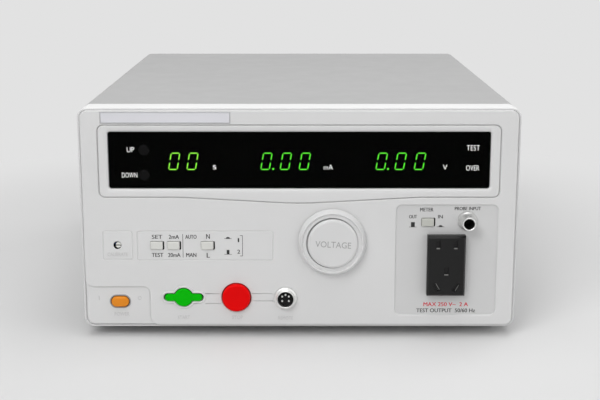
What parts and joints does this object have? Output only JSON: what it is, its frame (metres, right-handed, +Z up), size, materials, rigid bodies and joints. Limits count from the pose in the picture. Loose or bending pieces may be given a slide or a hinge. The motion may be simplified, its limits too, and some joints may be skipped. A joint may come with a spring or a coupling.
{
  "type": "leakage current tester",
  "caption": "Bench leakage current tester: grey steel case with a moulded front, dark display window, push controls, regulator knob, remote connector, test jack and mains outlet.",
  "frame": {"origin": "middle of the footprint, on the surface that the four feet stand on", "axes": "+Z up, -Y out of the front panel, +X to the right as seen from the front"},
  "size_m": [0.3246, 0.3786, 0.173],
  "materials": {
    "light_moulding": "fine satin grain",
    "cover_enamel": "fine textured enamel",
    "zinc_steel": "zinc plated",
    "black_rubber": "matt",
    "black_moulding": "satin",
    "window_acrylic": "polished dark acrylic",
    "circuit_board": "solder mask",
    "ivory_moulding": "satin",
    "amber_moulding": "satin",
    "green_moulding": "satin",
    "red_moulding": "satin",
    "knob_moulding": "satin",
    "nickel_plate": "bright nickel",
    "copper_winding": "enamelled wire",
    "core_steel": "varnished laminations",
    "taped_coil": "polyester tape over copper",
    "brass": "bright",
    "blue_moulding": "satin"
  },
  "bodies": {
    "case": {"front_frame": "light_moulding", "front_panel": "light_moulding", "name_plate": "light_moulding", "top_cover": "cover_enamel", "rear_panel": "cover_enamel", "bottom_tray": "zinc_steel", "foot_front_left": "black_rubber", "foot_front_right": "black_rubber", "foot_rear_left": "black_rubber", "foot_rear_right": "black_rubber", "cover_screw_left_front": "zinc_steel", "cover_screw_left_rear": "zinc_steel", "cover_screw_right_front": "zinc_steel", "cover_screw_right_rear": "zinc_steel", "side_grip_left": "black_moulding", "side_grip_right": "black_moulding", "display_window": "window_acrylic", "display_board": "circuit_board", "timer_display": "black_moulding", "current_display": "black_moulding", "voltage_display": "black_moulding", "power_switch": "black_moulding", "start_switch": "black_moulding", "stop_switch": "black_moulding", "key_switch_bank": "black_moulding", "meter_switch": "black_moulding", "trimmer_body": "blue_moulding", "variac_winding": "copper_winding", "variac_core": "core_steel", "variac_bracket": "zinc_steel", "transformer_core": "core_steel", "transformer_coil": "taped_coil", "transformer_strap": "zinc_steel", "main_board": "circuit_board", "supply_transformer": "taped_coil", "output_relay": "blue_moulding", "smoothing_capacitor": "black_moulding", "connector_shell": "nickel_plate", "connector_insert": "black_moulding", "connector_pins": "nickel_plate", "test_jack": "nickel_plate", "outlet_socket": "black_moulding", "outlet_contacts": "brass", "mains_inlet": "black_moulding", "fuse_holder": "black_moulding", "earth_terminal": "brass"},
    "up": {"up_button": "black_moulding"},
    "down": {"down_button": "black_moulding"},
    "power": {"power_button": "amber_moulding"},
    "start": {"start_button": "green_moulding"},
    "stop": {"stop_button": "red_moulding"},
    "preset": {"preset_key": "ivory_moulding"},
    "range": {"range_key": "ivory_moulding"},
    "line": {"line_key": "ivory_moulding"},
    "meter": {"meter_key": "ivory_moulding"},
    "trimmer": {"trimmer_screw": "brass"},
    "regulator": {"regulator_knob": "knob_moulding", "knob_cap": "knob_moulding", "regulator_shaft": "nickel_plate", "brush_arm": "brass"}
  },
  "joints": [
    {"name": "up_press", "type": "slide", "parent": "case", "child": "up", "axis": [0, 1, 0], "range_m": [0, 0.0008], "stiffness_N_per_m": 400},
    {"name": "down_press", "type": "slide", "parent": "case", "child": "down", "axis": [0, 1, 0], "range_m": [0, 0.0008], "stiffness_N_per_m": 400},
    {"name": "power_press", "type": "slide", "parent": "case", "child": "power", "axis": [0, 1, 0], "range_m": [0, 0.003]},
    {"name": "start_press", "type": "slide", "parent": "case", "child": "start", "axis": [0, 1, 0], "range_m": [0, 0.002], "stiffness_N_per_m": 400},
    {"name": "stop_press", "type": "slide", "parent": "case", "child": "stop", "axis": [0, 1, 0], "range_m": [0, 0.003], "stiffness_N_per_m": 400},
    {"name": "preset_press", "type": "slide", "parent": "case", "child": "preset", "axis": [0, 1, 0], "range_m": [0, 0.003]},
    {"name": "range_press", "type": "slide", "parent": "case", "child": "range", "axis": [0, 1, 0], "range_m": [0, 0.003]},
    {"name": "line_press", "type": "slide", "parent": "case", "child": "line", "axis": [0, 1, 0], "range_m": [0, 0.003]},
    {"name": "meter_press", "type": "slide", "parent": "case", "child": "meter", "axis": [0, 1, 0], "range_m": [0, 0.003]},
    {"name": "trimmer_turn", "type": "hinge", "parent": "case", "child": "trimmer", "pos_m": [-0.1328, -0.17875, 0.0715], "axis": [0, 1, 0], "range_deg": [-135, 135]},
    {"name": "regulator_turn", "type": "hinge", "parent": "case", "child": "regulator", "pos_m": [0.024, -0.17875, 0.0744], "axis": [0, 1, 0], "range_deg": [0, 320]}
  ]
}
